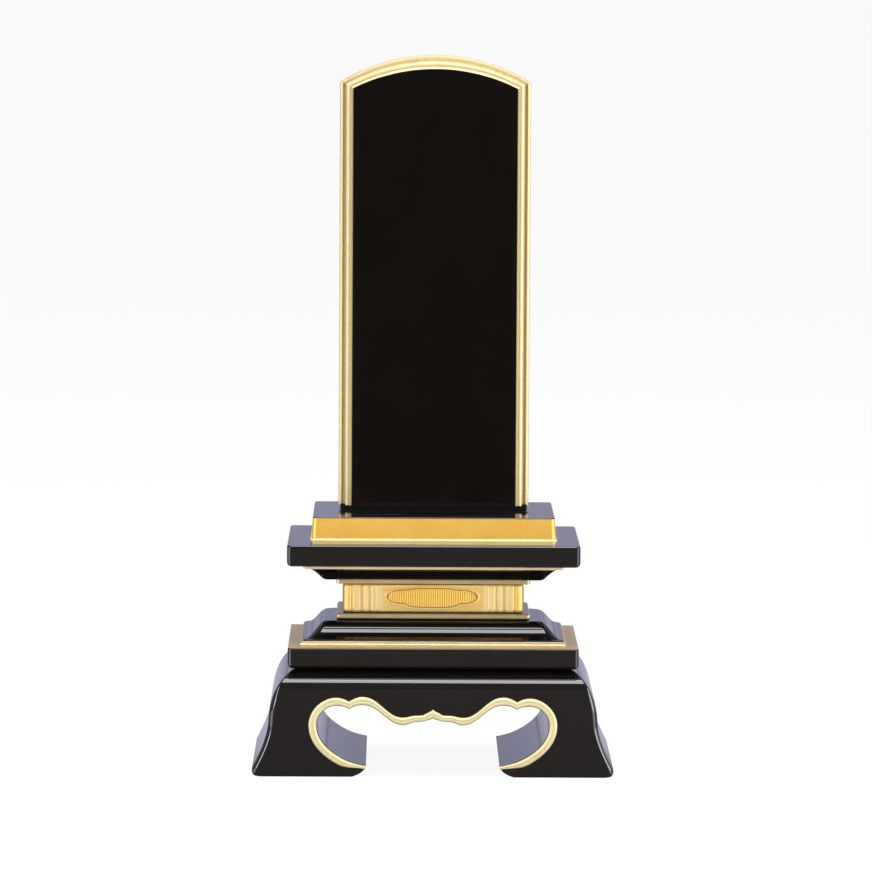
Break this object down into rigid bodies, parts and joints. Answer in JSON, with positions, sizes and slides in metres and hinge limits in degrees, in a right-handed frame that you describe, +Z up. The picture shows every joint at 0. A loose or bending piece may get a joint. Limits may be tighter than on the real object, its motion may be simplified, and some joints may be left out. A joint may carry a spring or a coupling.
{
  "type": "buddhist memorial tablet",
  "caption": "Free-standing black-lacquered memorial tablet: a gilt-edged board with an arched head that lifts out of a tiered stand with a gilt neck and a lobed leg base.",
  "frame": {"origin": "middle of the footprint, on the surface that the stand's feet rest on", "axes": "+X to the right and +Z up as the front is seen, which faces -Y; the part is symmetrical about X = 0"},
  "size_m": [0.0956, 0.0558, 0.1893],
  "materials": {
    "black_lacquer": "polished black lacquer over wood, mirror gloss",
    "gold_leaf": "gold leaf over lacquered wood, soft satin metal sheen",
    "bare_wood": "bare wood, out of sight"
  },
  "bodies": {
    "stand": {"leg_base": "black_lacquer", "lower_plate": "black_lacquer", "lower_ogee": "black_lacquer", "upper_ogee": "black_lacquer", "upper_plate": "black_lacquer", "socket_plinth": "black_lacquer", "front_opening_bead": "gold_leaf", "back_opening_bead": "gold_leaf", "bevel_front": "gold_leaf", "bevel_back": "gold_leaf", "bevel_right": "gold_leaf", "bevel_left": "gold_leaf", "lower_neck_fillet": "gold_leaf", "neck_core": "bare_wood", "neck_front_facing": "gold_leaf", "neck_back_facing": "gold_leaf", "neck_left_facing": "gold_leaf", "neck_right_facing": "gold_leaf", "upper_neck_fillet": "gold_leaf", "under_plate_fillet": "gold_leaf", "plinth_foot": "gold_leaf", "lower_dowel_left": "bare_wood", "lower_dowel_right": "bare_wood", "neck_dowel_left": "bare_wood", "neck_dowel_right": "bare_wood", "upper_dowel_left": "bare_wood", "upper_dowel_right": "bare_wood"},
    "tablet": {"tablet_board": "black_lacquer", "left_stile_moulding": "gold_leaf", "right_stile_moulding": "gold_leaf", "arch_moulding": "gold_leaf"}
  },
  "joints": [
    {"name": "tablet_lift", "type": "slide", "parent": "stand", "child": "tablet", "axis": [0, 0, 1], "range_m": [0, 0.02]}
  ]
}
